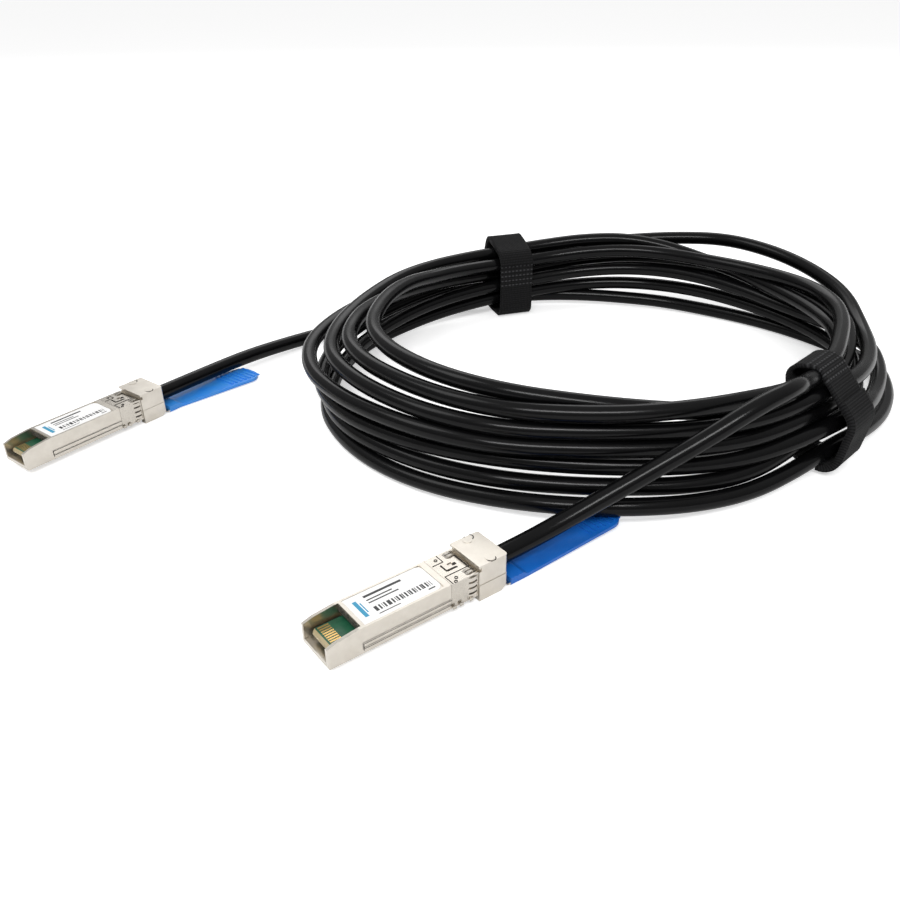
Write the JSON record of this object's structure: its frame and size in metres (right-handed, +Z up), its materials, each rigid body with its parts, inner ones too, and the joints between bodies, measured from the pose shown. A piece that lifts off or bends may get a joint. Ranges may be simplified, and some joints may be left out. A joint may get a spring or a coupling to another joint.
{
  "type": "direct attach copper cable",
  "caption": "Twinax copper cord with a metal pluggable transceiver head and sliding blue pull tab at each end, lying in an oval coil tied with two hook-and-loop straps.",
  "frame": {"origin": "on the floor under the middle of the near plug's head", "axes": "+X along the near plug from its nose to its cable, +Y across it towards the far plug, +Z up"},
  "size_m": [0.3357, 0.2281, 0.0458],
  "materials": {
    "die_cast_metal": "satin nickel-plated die casting",
    "collar_metal": "thin plated spring sheet",
    "label_film": "bare white film",
    "card_laminate": "green solder mask",
    "gold_plating": "gold-plated pads",
    "chip_plastic": "moulded chip package",
    "ceramic": "ceramic chip capacitors",
    "conductor_insulation": "clear white insulation",
    "mould_plastic": "black strain-relief mould",
    "near_tab_plastic": "flexible blue plastic",
    "far_tab_plastic": "flexible blue plastic",
    "cord_jacket": "smooth black jacket",
    "strap_fabric": "black woven hook-and-loop"
  },
  "bodies": {
    "cable": {"near_upper_shell": "die_cast_metal", "near_lower_cover": "die_cast_metal", "near_spring_collar": "collar_metal", "near_label": "label_film", "near_card": "card_laminate", "near_contact_pads": "gold_plating", "near_memory_chip": "chip_plastic", "near_capacitors": "ceramic", "near_conductors": "conductor_insulation", "near_inner_mould": "mould_plastic", "near_braid_clamp": "collar_metal", "near_head_pins": "die_cast_metal", "far_upper_shell": "die_cast_metal", "far_lower_cover": "die_cast_metal", "far_spring_collar": "collar_metal", "far_label": "label_film", "far_card": "card_laminate", "far_contact_pads": "gold_plating", "far_memory_chip": "chip_plastic", "far_capacitors": "ceramic", "far_conductors": "conductor_insulation", "far_inner_mould": "mould_plastic", "far_braid_clamp": "collar_metal", "far_head_pins": "die_cast_metal", "near_lead": "cord_jacket", "far_lead": "cord_jacket", "coil": "cord_jacket", "rear_strap": "strap_fabric", "front_strap": "strap_fabric"},
    "near_release": {"near_slider": "collar_metal", "near_pull_tab": "near_tab_plastic"},
    "far_release": {"far_slider": "collar_metal", "far_pull_tab": "far_tab_plastic"}
  },
  "joints": [
    {"name": "near_release_slide", "type": "slide", "parent": "cable", "child": "near_release", "axis": [1, 0, 0], "range_m": [0, 0.0028], "stiffness_N_per_m": 400},
    {"name": "far_release_slide", "type": "slide", "parent": "cable", "child": "far_release", "axis": [0.962, 0.273, 0], "range_m": [0, 0.0028], "stiffness_N_per_m": 400}
  ]
}
